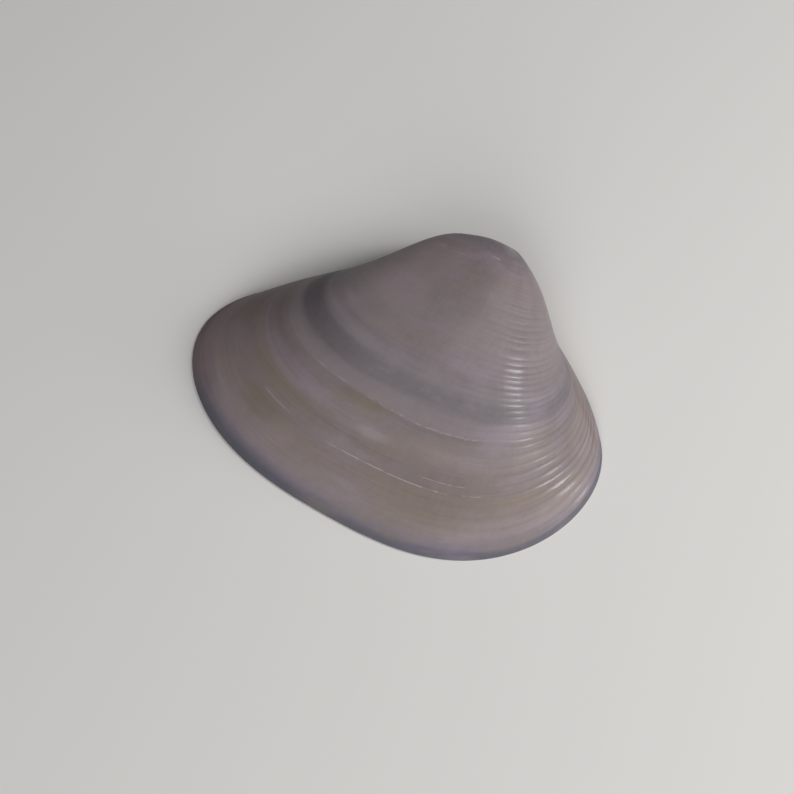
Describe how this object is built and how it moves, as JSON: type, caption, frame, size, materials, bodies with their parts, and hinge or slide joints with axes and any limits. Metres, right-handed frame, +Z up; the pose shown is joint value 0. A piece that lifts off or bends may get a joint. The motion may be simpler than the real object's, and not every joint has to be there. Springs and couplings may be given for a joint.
{
  "type": "clam shell valve",
  "caption": "Single valve of a trough clam: a rounded-triangular dome with concentric growth lines, hollow below, with a toothed hinge plate under the beak.",
  "frame": {"origin": "middle of the bounding box's bottom, on the plane that the rim rests on", "axes": "+X along the shell towards its short ribbed end, +Y across it towards the hinge, +Z up through the dome"},
  "size_m": [0.045, 0.0366, 0.0116],
  "materials": {
    "shell": "glossy grey-mauve and beige shell with darker and lighter growth bands"
  },
  "bodies": {
    "root": {"valve": "shell"}
  },
  "joints": []
}
